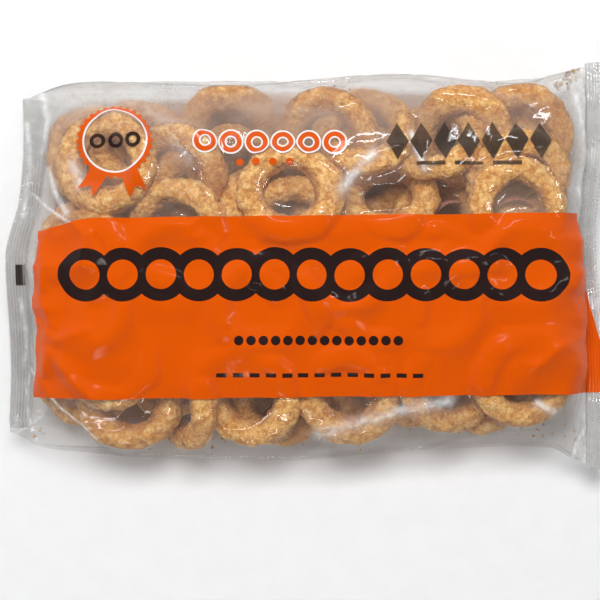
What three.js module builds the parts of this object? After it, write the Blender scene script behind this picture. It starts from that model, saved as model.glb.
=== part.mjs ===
// A clear film pillow pack of frozen crumbed onion rings, lying on its back with the printed face up.
// Millimetres, +Z up. X runs along the pack from seal to seal and Y across it.
// The origin is on the ground, under the middle of the pack.
//
// The pack is one closed solid: a tube of film that rises from a flat seal at each end to a body
// about 60 mm thick. Its upper face sags between the rings that press up under it, and
// its lower face is flat where the pack lies. Each ring of points round the tube is one station,
// and the stations are joined from the left seal to the right one.
import * as THREE from "three";

// Outline of the pack
const packLength = 372;
const halfLength = packLength / 2;
const leftSealWidth = 13;
const rightSealWidth = 10;
const sealThickness = 1.2;

// The long edges, seen from above: along the pack, and out from its middle line
const farEdge = [
  [-186, 104],
  [-172, 108],
  [-138, 113],
  [-33, 112],
  [58, 118],
  [131, 113],
  [160, 119],
  [186, 127.5],
];
const nearEdge = [
  [-186, -101],
  [-176, -109],
  [-150, -115],
  [-60, -119],
  [10, -119],
  [86, -112],
  [152, -112],
  [166, -120],
  [186, -127.5],
];

// Heights
const crownHeight = 60;
const rimHeight = 23;
const leftSealHeight = 14;
const rightSealHeight = 17;
const sealWave = 4.5;
const sagBetweenRings = 4.8;
const pleatDepth = 2.4;

// How far each end takes to fill out from its seal
const leftShoulder = 58;
const rightShoulder = 34;

// The rings that press up under the film
const ringDiameter = 65;
const ringThickness = 15;
const ringMiddle = (ringDiameter - ringThickness) / 2;

// Each place: along the pack, across it, the tilt in degrees, and the side that is raised, in degrees from +X
const upperRings = [
  { along: -122, across: 64, tilt: 8, raised: 250 },
  { along: -78, across: 44, tilt: 48, raised: 20 },
  { along: -8, across: 45, tilt: 10, raised: 270 },
  { along: 46, across: 68, tilt: 38, raised: 265 },
  { along: 88, across: 68, tilt: 62, raised: 185 },
  { along: 96, across: 92, tilt: 30, raised: 60 },
  { along: 132, across: 38, tilt: 12, raised: 60 },
  { along: 138, across: 80, tilt: 24, raised: 100 },
  { along: -118, across: -82, tilt: 18, raised: 250 },
  { along: -42, across: -80, tilt: 10, raised: 260 },
  { along: 26, across: -76, tilt: 30, raised: 300 },
  { along: 66, across: -74, tilt: 28, raised: 230 },
  { along: 102, across: -72, tilt: 20, raised: 280 },
  { along: 138, across: -68, tilt: 14, raised: 300 },
];
// Under the printed band the rings lie in a staggered row
const hiddenRow = { first: -132, pitch: 53, count: 6, across: -14, stagger: 12, tilt: 14, turn: 97 };

// Mesh
const stations = 70;
const upperSegments = 44;
const lowerSegments = upperSegments / 2;

function smoothStep(from, to, value) {
  const share = Math.min(1, Math.max(0, (value - from) / (to - from)));
  return share * share * (3 - 2 * share);
}

// A smooth curve through points sorted along the first number
function curveThrough(points, along) {
  const last = points.length - 1;
  let span = 0;
  while (span < last - 1 && along > points[span + 1][0]) {
    span += 1;
  }
  const slopeAt = (i) => {
    const before = points[Math.max(0, i - 1)];
    const after = points[Math.min(last, i + 1)];
    return (after[1] - before[1]) / (after[0] - before[0]);
  };
  const [x0, y0] = points[span];
  const [x1, y1] = points[span + 1];
  const width = x1 - x0;
  const s = Math.min(1, Math.max(0, (along - x0) / width));
  const s2 = s * s;
  const s3 = s2 * s;
  return (
    (2 * s3 - 3 * s2 + 1) * y0 +
    (s3 - 2 * s2 + s) * width * slopeAt(span) +
    (3 * s2 - 2 * s3) * y1 +
    (s3 - s2) * width * slopeAt(span + 1)
  );
}

// The cut edge of each seal isn't straight: the left one steps back where its far third is folded under
function leftCut(across) {
  const foldedBack = 7.5;
  const slack = 1.4;
  return -halfLength + foldedBack * smoothStep(4, 44, across) + slack * (1 - Math.cos(across / 26));
}

function rightCut(across) {
  const hollow = 4.5;
  const middle = 22;
  const reach = 40;
  return halfLength - hollow * Math.exp(-(((across - middle) / reach) ** 2));
}

// 0 at the inner line of a seal, 1 where the body has its full thickness
function fillAt(along, across) {
  const fromLeft = (along - leftCut(across) - leftSealWidth) / leftShoulder;
  const fromRight = (rightCut(across) - rightSealWidth - along) / rightShoulder;
  const rise = (share) => {
    const s = Math.min(1, Math.max(0, share));
    return (1 - (1 - s) ** 2.3) ** 0.8;
  };
  return rise(fromLeft) * rise(fromRight);
}

function sealHeightAt(along, across) {
  const left = leftSealHeight + sealWave * Math.sin(across / 21 + 0.6);
  const right = rightSealHeight + sealWave * Math.sin(across / 27 - 1.1);
  return along < 0 ? left : right;
}

function allUpperRings() {
  const rings = upperRings.slice();
  for (let i = 0; i < hiddenRow.count; i += 1) {
    rings.push({
      along: hiddenRow.first + i * hiddenRow.pitch,
      across: hiddenRow.across + (i % 2 ? hiddenRow.stagger : -hiddenRow.stagger),
      tilt: hiddenRow.tilt,
      raised: i * hiddenRow.turn,
    });
  }
  return rings;
}

const pressingRings = allUpperRings();

// 1 over the crest of a ring and 0 well away from every ring
function ringLift(x, y) {
  const crestWidth = ringThickness * 0.56;
  const flatTilt = 26;
  let lift = 0;
  for (const ring of pressingRings) {
    const tilt = THREE.MathUtils.degToRad(ring.tilt);
    const raised = THREE.MathUtils.degToRad(ring.raised);
    const dx = x - ring.along;
    const dy = y - ring.across;
    const uphill = (dx * Math.cos(raised) + dy * Math.sin(raised)) / Math.cos(tilt);
    const level = dy * Math.cos(raised) - dx * Math.sin(raised);
    const fromCrest = Math.hypot(uphill, level) - ringMiddle;
    const highSide = THREE.MathUtils.clamp(0.5 + (0.5 * uphill) / ringMiddle, 0, 1);
    const shown = THREE.MathUtils.lerp(1, highSide, Math.min(1, ring.tilt / flatTilt));
    lift = Math.max(lift, shown * Math.exp(-((fromCrest / crestWidth) ** 2)));
  }
  return lift;
}

// Folds that run in from a seal and die out on the shoulder
function pleatAt(fill, across, along) {
  const onShoulder = 4 * fill * (1 - fill);
  const wave = Math.sin(across / 4.6 + 2.2 * Math.sin(across / 31) + along / 40);
  const broad = Math.sin(across / 11.5 + 1.3);
  return pleatDepth * onShoulder * (0.55 * wave + 0.45 * broad);
}

// Share is 1 at the far edge, 0 on the middle line and -1 at the near edge
function filmAt(nominal, share) {
  const far = curveThrough(farEdge, nominal);
  const near = curveThrough(nearEdge, nominal);
  const across = (far + near) / 2 + (share * (far - near)) / 2;
  const endShare = nominal / halfLength;
  const pull = Math.abs(endShare) ** 6;
  const cut = endShare < 0 ? leftCut(across) + halfLength : rightCut(across) - halfLength;
  const along = nominal + pull * cut;
  const fill = fillAt(along, across);
  const crown = (1 - Math.abs(share) ** 3.4) ** 0.5;
  const flat = Math.min(1, 1.1 * (1 - Math.abs(share) ** 7) ** 0.5);
  const middle = THREE.MathUtils.lerp(sealHeightAt(along, across), rimHeight, smoothStep(0, 0.8, fill));
  const edgeFade = Math.min(1, (1 - Math.abs(share)) * 12);
  const sealHalf = (sealThickness / 2) * edgeFade;
  const sag = sagBetweenRings * (1 - ringLift(along, across)) * fill * crown;
  const rise = (crownHeight - middle) * fill * crown - sag + pleatAt(fill, across, along) * edgeFade;
  const underShare = Math.min(1, 1.12 * fill * flat);
  return {
    upper: new THREE.Vector3(along, across, middle + Math.max(sealHalf, rise)),
    lower: new THREE.Vector3(along, across, Math.min(middle - sealHalf, middle * (1 - underShare))),
  };
}

// One station: the upper face from the far edge to the near one, then the lower face back
function stationPoints(nominal) {
  const upper = [];
  const lower = [];
  for (let i = 0; i <= upperSegments; i += 1) {
    const share = Math.cos((Math.PI * i) / upperSegments);
    const eased = share * (0.78 + 0.22 * share * share);
    const film = filmAt(nominal, eased);
    upper.push(film.upper);
    if (i % 2 === 0 && i > 0 && i < upperSegments) {
      lower.unshift(film.lower);
    }
  }
  return [...upper, ...lower];
}

// Stations lie closer together on the shoulders than along the body
function nominalAt(station) {
  const even = (2 * station) / (stations - 1) - 1;
  const crowding = 0.12;
  return halfLength * (even + crowding * Math.sin(Math.PI * even));
}

// Closes a cut end: each lower segment lies under two upper ones
function capTriangles(first, facingLeft) {
  const loop = upperSegments + lowerSegments;
  const upper = (i) => first + i;
  const lower = (i) => first + ((loop - i) % loop);
  const triangles = [];
  for (let i = 0; i < lowerSegments; i += 1) {
    const from = i === 0 ? upper(0) : lower(i);
    const to = i === lowerSegments - 1 ? upper(upperSegments) : lower(i + 1);
    const corners = [upper(2 * i), upper(2 * i + 1), upper(2 * i + 2)];
    if (from !== corners[0]) {
      triangles.push([corners[0], corners[1], from]);
    }
    triangles.push([from, corners[1], to]);
    if (to !== corners[2]) {
      triangles.push([corners[1], corners[2], to]);
    }
  }
  return facingLeft ? triangles.map(([a, b, c]) => [a, c, b]) : triangles;
}

function packGeometry() {
  const loop = upperSegments + lowerSegments;
  const positions = [];
  for (let i = 0; i < stations; i += 1) {
    for (const point of stationPoints(nominalAt(i))) {
      positions.push(point.x, point.y, point.z);
    }
  }
  const index = [];
  for (let i = 0; i < stations - 1; i += 1) {
    for (let j = 0; j < loop; j += 1) {
      const a = i * loop + j;
      const b = i * loop + ((j + 1) % loop);
      index.push(a, b, a + loop, b, b + loop, a + loop);
    }
  }
  index.push(...capTriangles(0, true).flat());
  index.push(...capTriangles((stations - 1) * loop, false).flat());
  const geometry = new THREE.BufferGeometry();
  geometry.setAttribute("position", new THREE.Float32BufferAttribute(positions, 3));
  geometry.setIndex(index);
  geometry.computeVertexNormals();
  return geometry;
}

const filmMaterial = new THREE.MeshStandardMaterial({
  color: 0xdcb07a,
  roughness: 0.25,
  metalness: 0,
});

const pack = new THREE.Mesh(packGeometry(), filmMaterial);
pack.name = "bag";

const part = new THREE.Group();
part.add(pack);

export default part;
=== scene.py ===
# %% [markdown]
# # A clear pack of frozen crumbed onion rings
# The real thing is a pillow of clear film, sealed at both ends, that lies on its back. Rings press up
# under the film, an orange band is printed across it, and frost hazes the film where nothing touches it.
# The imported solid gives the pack's form. Here it is replaced by what it stands for: fifty-four rings
# with real crumb relief, a thin film that is laid over them, crimped seals, loose crumbs and frost.

import math

import bmesh
import bpy
import numpy as np
from mathutils import Matrix, Vector
from mathutils.bvhtree import BVHTree


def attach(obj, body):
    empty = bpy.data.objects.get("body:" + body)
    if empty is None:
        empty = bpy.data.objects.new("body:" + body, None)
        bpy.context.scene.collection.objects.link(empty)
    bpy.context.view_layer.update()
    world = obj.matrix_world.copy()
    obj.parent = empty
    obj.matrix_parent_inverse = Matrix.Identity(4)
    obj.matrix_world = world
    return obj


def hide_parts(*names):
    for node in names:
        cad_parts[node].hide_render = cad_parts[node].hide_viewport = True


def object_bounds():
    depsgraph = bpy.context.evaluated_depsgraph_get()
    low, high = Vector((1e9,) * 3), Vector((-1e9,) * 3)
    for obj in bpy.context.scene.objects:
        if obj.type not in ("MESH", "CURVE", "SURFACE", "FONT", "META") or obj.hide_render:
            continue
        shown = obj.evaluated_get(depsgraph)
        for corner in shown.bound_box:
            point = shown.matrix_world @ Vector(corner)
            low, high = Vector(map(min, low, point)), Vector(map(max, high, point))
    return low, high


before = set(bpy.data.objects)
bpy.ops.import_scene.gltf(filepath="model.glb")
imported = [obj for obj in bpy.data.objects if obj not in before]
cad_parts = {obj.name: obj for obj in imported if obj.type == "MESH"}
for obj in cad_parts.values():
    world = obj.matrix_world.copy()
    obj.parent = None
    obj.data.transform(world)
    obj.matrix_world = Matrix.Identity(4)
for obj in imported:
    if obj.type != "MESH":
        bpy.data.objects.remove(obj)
cad_box = [[float(value) for value in corner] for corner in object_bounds()]
low_corner, high_corner = (Vector(corner) for corner in cad_box)
body = "root"
mm = 0.001
print("pack box in mm:", [[round(value / mm) for value in corner] for corner in cad_box])

# %% [markdown]
# ## Camera
# The pack was photographed from straight above. A long lens keeps the rings near the edges from leaning
# outwards, and its focal length follows from the width that the picture spans at the height of the seals.
# The same numbers say which point of the pack lies under a pixel, which places rings and print.

# %% Camera
picture_side = 600
framed_width = 372 * mm
framed_height = 22 * mm
eye = Vector((-1.9 * mm, -21.7 * mm, 1100 * mm))
sensor_width = 36

camera_data = bpy.data.cameras.new("camera")
camera_data.sensor_width = sensor_width
camera_data.lens = sensor_width * (eye.z - framed_height) / framed_width
camera_data.clip_start = 0.05
camera_data.clip_end = 20
camera = bpy.data.objects.new("camera", camera_data)
camera.location = eye
bpy.context.collection.objects.link(camera)
bpy.context.scene.camera = camera


def under_pixel(column, row, height):
    """The point at this height that shows at a pixel of the photograph's 600 x 600 frame."""
    scale = framed_width / picture_side * (eye.z - height) / (eye.z - framed_height)
    half = picture_side / 2
    return Vector((eye.x + (column - half) * scale, eye.y + (half - row) * scale, height))


print("lens in mm:", round(camera_data.lens, 1))

# %% [markdown]
# ## Light and floor
# Soft light comes from the far side and less from the near one, which turns the near wall of the film grey
# as in the photograph, and the film's milk is painted darker there as shade too. The sky is dark overhead,
# because that is what flat film mirrors to a camera that looks straight down, and ink seen through a bright
# mirror image turns pale. Small bright panels put the short glints on the wrinkles; some glare and glints
# are painted on the film as white lines.

# %% Sky and lamps
bpy.context.scene.view_settings.view_transform = "Standard"

sky = bpy.data.worlds.new("studio")
bpy.context.scene.world = sky
sky.use_nodes = True
sky_nodes = sky.node_tree.nodes
sky_links = sky.node_tree.links
direction = sky_nodes.new("ShaderNodeTexCoord")
split = sky_nodes.new("ShaderNodeSeparateXYZ")
ramp = sky_nodes.new("ShaderNodeValToRGB")
sky_links.new(direction.outputs["Generated"], split.inputs[0])
sky_links.new(split.outputs["Z"], ramp.inputs[0])
sky_links.new(ramp.outputs[0], sky_nodes["Background"].inputs["Color"])
ramp.color_ramp.elements[0].position = 0.25
ramp.color_ramp.elements[0].color = (0.80, 0.81, 0.83, 1)
ramp.color_ramp.elements[1].position = 0.95
ramp.color_ramp.elements[1].color = (0.05, 0.05, 0.055, 1)
sky_nodes["Background"].inputs["Strength"].default_value = 0.66

# name, place, height of the point it aims at, width, length, watts
soft_panels = [
    ("far soft panel", (-0.20, 0.80, 1.6), 0, 0.9, 0.6, 23.5),
    ("left soft panel", (-1.35, 0.15, 1.3), 0, 0.6, 0.9, 4),
    ("near soft panel", (0.5, -1.3, 1.5), 0, 0.9, 0.6, 0.7),
]
glint_panels = [
    ("far glint panel", (0.10, 0.62, 0.95), 0.05, 0.30, 0.06, 1.5),
    ("side glint panel", (0.72, 0.1, 0.9), 0.05, 0.05, 0.40, 1.2),
    ("near glint panel", (-0.15, -0.75, 0.9), 0.05, 0.35, 0.05, 0.8),
]


def add_lamp(name, place, aim_height, width, length, watts, mirrored):
    """A bright panel. A panel that isn't mirrored lights the pack but shows in no reflection."""
    lamp = bpy.data.lights.new(name, "AREA")
    lamp.shape = "RECTANGLE"
    lamp.size = width
    lamp.size_y = length
    lamp.energy = watts
    holder = bpy.data.objects.new(name, lamp)
    holder.location = place
    holder.visible_glossy = mirrored
    aim = Vector((0, 0, aim_height)) - Vector(place)
    holder.rotation_euler = aim.to_track_quat("-Z", "Y").to_euler()
    bpy.context.collection.objects.link(holder)


for panel in soft_panels:
    add_lamp(*panel, False)
for panel in glint_panels:
    add_lamp(*panel, True)
print("lamps:", len(soft_panels) + len(glint_panels))


# %% Floor
def add_mesh(name, mesh, material=None):
    """A finished piece: its place is in its mesh, so the object stays at the origin."""
    for polygon in mesh.polygons:
        polygon.use_smooth = True
    if material:
        mesh.materials.clear()
        mesh.materials.append(material)
    piece = bpy.data.objects.new(name, mesh)
    bpy.context.collection.objects.link(piece)
    return piece


def mesh_from(bm, name):
    mesh = bpy.data.meshes.new(name)
    bm.to_mesh(mesh)
    bm.free()
    return mesh


floor_half = 4
floor_height = -0.2 * mm
floor_bm = bmesh.new()
bmesh.ops.create_grid(floor_bm, x_segments=1, y_segments=1, size=floor_half)
bmesh.ops.translate(floor_bm, vec=(0, 0, floor_height), verts=floor_bm.verts)
floor = add_mesh("floor", mesh_from(floor_bm, "floor"))

# %% [markdown]
# ## Shader maths as expressions
# A wrinkle mask or a printed ring is a formula. Nodes for it could be wired by hand, one by one, but
# a small class around a socket lets Python's own operators add them, so the formula can be read.


# %% Socket class
class Wire:
    """An output socket. Arithmetic on it adds Math nodes."""

    def __init__(self, finish, socket):
        self.finish = finish
        self.socket = socket

    def math(self, operation, *others):
        """A Math node that reads this value first and then the others."""
        return self.finish.math(operation, self, *others)

    def __add__(self, other):
        return self.math("ADD", other)

    def __sub__(self, other):
        return self.math("SUBTRACT", other)

    def __rsub__(self, other):
        return self.finish.math("SUBTRACT", other, self)

    def __mul__(self, other):
        return self.math("MULTIPLY", other)

    def __truediv__(self, other):
        return self.math("DIVIDE", other)

    def __pow__(self, other):
        return self.math("POWER", other)

    def __lt__(self, other):
        return self.math("LESS_THAN", other)

    def __gt__(self, other):
        return self.math("GREATER_THAN", other)

    def __abs__(self):
        return self.math("ABSOLUTE")

    __radd__ = __add__
    __rmul__ = __mul__

    def larger(self, other):
        return self.math("MAXIMUM", other)

    def smaller(self, other):
        return self.math("MINIMUM", other)

    def between(self, low, high):
        """1 where the value lies between two numbers, else 0."""
        return (self > low) * (self < high)

    def ramp(self, low, high, start=0.0, end=1.0):
        """Goes from start to end as the value goes from low to high, and stays there beyond."""
        values = {"Value": self, "From Min": low, "From Max": high, "To Min": start, "To Max": end}
        settings = {"interpolation_type": "SMOOTHSTEP"}
        return self.finish.node("ShaderNodeMapRange", settings, values)


# %% Material class
class Finish:
    """A material under construction."""

    def __init__(self, name):
        self.material = bpy.data.materials.new(name)
        self.material.use_nodes = True
        self.tree = self.material.node_tree
        self.tree.nodes.clear()

    def node(self, kind, settings=None, sockets=None, output=0):
        """Adds a node, makes its settings, then fills its sockets with numbers or wires."""
        made = self.tree.nodes.new(kind)
        for name, value in (settings or {}).items():
            if name == "stops":
                self.set_stops(made.color_ramp, value)
            else:
                setattr(made, name, value)
        for name, value in (sockets or {}).items():
            if isinstance(value, Wire):
                self.tree.links.new(value.socket, made.inputs[name])
            else:
                made.inputs[name].default_value = value
        return Wire(self, made.outputs[output])

    @staticmethod
    def set_stops(ramp, stops):
        while len(ramp.elements) < len(stops):
            ramp.elements.new(0.5)
        for element, (position, colour) in zip(ramp.elements, stops):
            element.position = position
            element.color = (*colour, 1)

    def math(self, operation, *values):
        return self.node("ShaderNodeMath", {"operation": operation}, dict(enumerate(values)))

    def place(self):
        """Where a point is on the object, in metres."""
        return self.node("ShaderNodeTexCoord", output="Object")

    def attribute(self, name, output="Fac"):
        return self.node("ShaderNodeAttribute", {"attribute_name": name}, output=output)

    def parts(self, vector):
        made = self.tree.nodes.new("ShaderNodeSeparateXYZ")
        self.tree.links.new(vector.socket, made.inputs[0])
        return [Wire(self, output) for output in made.outputs]

    def clouds(self, scale, detail=3.0, roughness=0.5, distortion=0.0):
        sockets = {
            "Vector": self.place(),
            "Scale": scale,
            "Detail": detail,
            "Roughness": roughness,
            "Distortion": distortion,
        }
        return self.node("ShaderNodeTexNoise", {}, sockets)

    def cells(self, scale):
        return self.node("ShaderNodeTexVoronoi", {}, {"Vector": self.place(), "Scale": scale})

    def blend(self, share, first, second):
        """A colour that goes from the first to the second."""
        colours = [c if isinstance(c, Wire) else (*c, 1) for c in (first, second)]
        sockets = {0: share, 6: colours[0], 7: colours[1]}
        return self.node("ShaderNodeMix", {"data_type": "RGBA"}, sockets, output=2)

    def bump(self, height, strength, distance):
        sockets = {"Height": height, "Strength": strength, "Distance": distance}
        return self.node("ShaderNodeBump", {}, sockets)

    def done(self, shader):
        output = self.tree.nodes.new("ShaderNodeOutputMaterial")
        self.tree.links.new(shader.socket, output.inputs["Surface"])
        return self.material

    def done_solid(self, sockets):
        """Ends the material with one Principled shader."""
        return self.done(self.node("ShaderNodeBsdfPrincipled", {}, sockets))

    def done_film(self, colour, cover, normal, gloss_roughness, shine):
        """Ends a film: clear where cover is 0, inked or milky where it is 1, and shiny by a share."""
        inked = {"Base Color": colour, "Roughness": 0.5, "Specular IOR Level": 0.08, "Normal": normal}
        solid = self.node("ShaderNodeBsdfPrincipled", {}, inked)
        clear = self.node("ShaderNodeBsdfTransparent")
        seen = self.node("ShaderNodeMixShader", {}, {0: cover, 1: clear, 2: solid})
        gloss = self.node("ShaderNodeBsdfGlossy", {}, {"Roughness": gloss_roughness, "Normal": normal})
        return self.done(self.node("ShaderNodeMixShader", {}, {0: shine, 1: seen, 2: gloss}))


# %% Mottled finishes
def mottled_finish(name, mottle, shades, sockets, grain=None):
    """A finish whose colour drifts between two shades. Grain is a bump's scale, strength and depth."""
    finish = Finish(name)
    tone = finish.clouds(*mottle).ramp(0.3, 0.7)
    sockets = {"Base Color": finish.blend(tone, *shades), **sockets}
    if grain:
        scale, strength, depth = grain
        sockets["Normal"] = finish.bump(finish.clouds(scale), strength, depth)
    return finish.done_solid(sockets)


paper_shades = ((0.86, 0.86, 0.86), (0.88, 0.88, 0.88))
paper = mottled_finish("pale floor", (60, 4), paper_shades, {"Roughness": 0.9, "Specular IOR Level": 0.1})
floor.data.materials.append(paper)

# %% [markdown]
# ## The crumb coating
# A coated ring is pale gold where crumbs stand out and darker brown in the pits, partly the crumb's tone
# and partly painted shade. Inside its hole it is painted darkest, as shade.
# Colour could come from noise alone, but then it would not meet the relief, so the mesh carries how high
# each point stands, how far it faces the hole, and how brown its ring was fried.

# %% Crumb finish
# Colours by how high a point stands: the low stops darken the pits, partly as painted shade
crumb_tones_and_painted_pit_shade = [
    (0.0, (0.44, 0.165, 0.042)),
    (0.32, (0.66, 0.305, 0.084)),
    (0.66, (0.84, 0.475, 0.155)),
    (1.0, (0.96, 0.700, 0.330)),
]
toasted_shade = (0.44, 0.165, 0.045)
flour_shade = (0.95, 0.80, 0.56)
# Painted shade, reddish brown, for the side of a ring that faces its hole
painted_hole_shade = (0.36, 0.115, 0.055)


def crumb_finish():
    finish = Finish("fried crumb")
    relief = finish.attribute("relief")
    hole_side = finish.attribute("hole_side")
    browned = finish.attribute("browned")
    patches = finish.clouds(62, 4, 0.6).ramp(0.36, 0.66)
    slow = finish.clouds(190, 3, 0.6).ramp(0.3, 0.7)
    fine = finish.clouds(900, 3, 0.7).ramp(0.3, 0.7)
    specks = finish.cells(520)
    # Lower points take darker stops, so the pits are partly painted shade
    height = (relief * 0.42 + fine * 0.20 + slow * 0.38).ramp(0.02, 0.98)
    gold = finish.node("ShaderNodeValToRGB", {"stops": crumb_tones_and_painted_pit_shade}, {0: height}, output=0)
    toasted = finish.blend((browned * 0.75 + patches * 0.5 - 0.1).ramp(0, 1), gold, toasted_shade)
    tanned = finish.blend(browned * 0.5 + patches * 0.5, gold, toasted)
    flour = finish.blend((specks < 0.22) * 0.32, tanned, flour_shade)
    grains = fine * 0.6 + specks.ramp(0.0, 0.6, 1.0, 0.0) * 0.7
    sockets = {
        # Painted shade: darker towards the side that faces the hole
        "Base Color": finish.blend(hole_side.ramp(0.45, 1.0) * 0.5, flour, painted_hole_shade),
        "Roughness": height.ramp(0, 1, 0.62, 0.8),
        "Specular IOR Level": 0.35,
        "Normal": finish.bump(grains, 0.45, 0.5 * mm),
    }
    return finish.done_solid(sockets)


crumb = crumb_finish()

# %% [markdown]
# ## One ring
# A formed ring is a round bar bent into a hoop, coated in crumbs of one to two millimetres. The hoop is
# a circle spun about an axis. The coating could be bump only, but it shows in outline, so displacement
# from four procedural textures shapes it: slow lumps, dents, coarse grains and fine ones. Six masters differ
# in their noise, and two levels of detail serve rings that show and rings that lie deep.

# %% Ring masters
ring_across = 64 * mm
ring_thick = 17 * mm
ring_middle = (ring_across - ring_thick) / 2
# Before it is coated the bar is thinner, and a little wider than it is high
bare_radius = ring_thick / 2 * 0.94
bare_shape = (1.04, 0.96)
masters = 6
quarter_turn = math.pi / 2
full_turn = 2 * math.pi


def grain_texture(name, kind, size):
    texture = bpy.data.textures.new(name, kind)
    texture.noise_scale = size
    return texture


# A texture, and the depth of its relief in mm
crumb_relief = [
    (grain_texture("slow lumps", "CLOUDS", 21 * mm), 4.2),
    (grain_texture("dents", "CLOUDS", 7 * mm), 2.8),
    (grain_texture("coarse crumbs", "VORONOI", 2.8 * mm), -0.9),
    (grain_texture("fine crumbs", "CLOUDS", 1.3 * mm), 0.9),
]


def bent_bar(segments, radius, shape, bend, arc, steps):
    """An oval bar bent about the Z axis, all the way round or part of it."""
    bm = bmesh.new()
    bmesh.ops.create_circle(bm, segments=segments, radius=radius)
    upright = Matrix.Rotation(quarter_turn, 3, "X")
    bmesh.ops.rotate(bm, cent=(0, 0, 0), matrix=upright, verts=bm.verts)
    bmesh.ops.scale(bm, vec=(shape[0], 1, shape[1]), verts=bm.verts)
    bmesh.ops.translate(bm, vec=(bend, 0, 0), verts=bm.verts)
    bmesh.ops.spin(
        bm,
        geom=bm.verts[:] + bm.edges[:],
        cent=(0, 0, 0),
        axis=(0, 0, 1),
        angle=arc,
        steps=steps,
        use_merge=arc == full_turn,
    )
    if arc < full_turn:
        bmesh.ops.holes_fill(bm, edges=bm.edges, sides=0)
    bmesh.ops.recalc_face_normals(bm, faces=bm.faces)
    return bm


def ring_master(number, around, through):
    """A ring about the Z axis. Each master is displaced in its own part of the textures' space."""
    bm = bent_bar(through, bare_radius, bare_shape, ring_middle, full_turn, around)
    away = Vector((1.7 * number, 0.9 * number, 0.4 * number))
    bmesh.ops.translate(bm, vec=away, verts=bm.verts)
    piece = add_mesh("ring master", mesh_from(bm, "ring master"))
    for texture, depth in crumb_relief:
        displace = piece.modifiers.new(texture.name, "DISPLACE")
        displace.texture = texture
        displace.texture_coords = "LOCAL"
        displace.strength = depth * mm
        displace.mid_level = 0.5
    view = bpy.context.evaluated_depsgraph_get()
    shaped = bpy.data.meshes.new_from_object(piece.evaluated_get(view))
    bpy.data.objects.remove(piece)
    shaped.transform(Matrix.Translation(-away))
    return shaped


# %% Relief as an attribute
smooth_rounds = 5
full_relief = 0.8 * mm


def note_relief(mesh):
    """Stores how high each point stands over its surroundings, and how far it faces the hole."""
    points = np.empty(len(mesh.vertices) * 3)
    mesh.vertices.foreach_get("co", points)
    points = points.reshape(-1, 3)
    count = len(points)
    out = np.hypot(points[:, 0], points[:, 1]) - ring_middle
    height = np.hypot(out, points[:, 2])
    edges = np.empty(len(mesh.edges) * 2, int)
    mesh.edges.foreach_get("vertices", edges)
    first, second = edges.reshape(-1, 2).T
    joined = np.bincount(first, minlength=count) + np.bincount(second, minlength=count)
    around = height.copy()
    for _ in range(smooth_rounds):
        near = np.bincount(first, around[second], count) + np.bincount(second, around[first], count)
        around = 0.5 * around + 0.5 * near / joined
    stands = np.clip(0.5 + (height - around) / full_relief, 0, 1)
    facing = np.clip(-out / np.maximum(height, 1e-6), 0, 1)
    for name, values in (("relief", stands), ("hole_side", facing)):
        mesh.attributes.new(name, "FLOAT", "POINT").data.foreach_set("value", values.astype(np.float32))


fine_rings = [ring_master(number, 180, 58) for number in range(masters)]
plain_rings = [ring_master(number, 92, 36) for number in range(masters)]
for mesh in fine_rings + plain_rings:
    note_relief(mesh)
print("faces of a ring:", len(fine_rings[0].polygons), "or", len(plain_rings[0].polygons))

# %% [markdown]
# ## Where the rings lie
# Rings were poured in and the pack was laid flat, so they lie in three loose layers and lean on each other.
# Blender's rigid bodies could drop them, but a hollow ring needs a concave shape there, which is slow and
# shakes. Here each ring is a stiff hoop of beads. The beads push each other apart and stay inside the
# pack's solid, and every hoop is put back to its round shape after each step. Rings that show in the
# photograph are drawn towards their places, and the others sink.

# %% Where each ring starts
draw = np.random.default_rng(41)
beads = 14
total_rings = 54

# column, row, tilt in degrees, raised side in degrees from +X, how brown, height of the middle
shown_rings = [
    (105, 160, 9, 255, 0.25, 44),
    (131, 143, 14, 20, 0.55, 30),
    (184, 176, 40, 45, 0.50, 36),
    (178, 216, 50, 30, 0.30, 40),
    (222, 172, 25, 100, 0.60, 24),
    (268, 195, 14, 0, 0.35, 30),
    (293, 190, 8, 270, 0.10, 47),
    (303, 213, 32, 90, 0.35, 34),
    (318, 142, 16, 100, 0.70, 33),
    (376, 148, 48, 262, 0.10, 42),
    (386, 178, 38, 268, 0.15, 36),
    (443, 150, 68, 285, 0.25, 36),
    (448, 119, 42, 60, 0.30, 34),
    (523, 142, 24, 85, 0.25, 42),
    (546, 128, 20, 70, 0.45, 24),
    (516, 208, 7, 100, 0.15, 48),
    (352, 240, 18, 90, 0.35, 38),
    (418, 240, 20, 100, 0.40, 38),
    (126, 404, 20, 85, 0.65, 33),
    (94, 366, 35, 330, 0.45, 32),
    (62, 368, 20, 180, 0.45, 24),
    (186, 408, 60, 10, 0.55, 24),
    (228, 394, 20, 92, 0.05, 36),
    (296, 380, 20, 60, 0.50, 24),
    (343, 388, 22, 110, 0.20, 34),
    (402, 378, 18, 90, 0.55, 26),
    (456, 380, 20, 80, 0.50, 30),
    (515, 376, 16, 95, 0.20, 38),
]
shown = len(shown_rings)


def turned(tilt, raised):
    """A turn that lifts one side of a flat ring."""
    lean = Matrix.Rotation(-math.radians(tilt), 3, "Y")
    face = Matrix.Rotation(math.radians(raised), 3, "Z")
    return np.array(face @ lean @ face.transposed())


places = []
turns = []
browned = []
for column, row, tilt, raised, brown, height in shown_rings:
    places.append(np.array(under_pixel(column, row, height * mm)))
    turns.append(turned(tilt, raised))
    browned.append(brown)

# Pale rings lie on top and show best, so they are held to their places the most
paleness = 1 - np.array(browned)
lasting_pull = 0.006 + 0.06 * np.clip(paleness - 0.72, 0, 1)[:, None, None]

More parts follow.
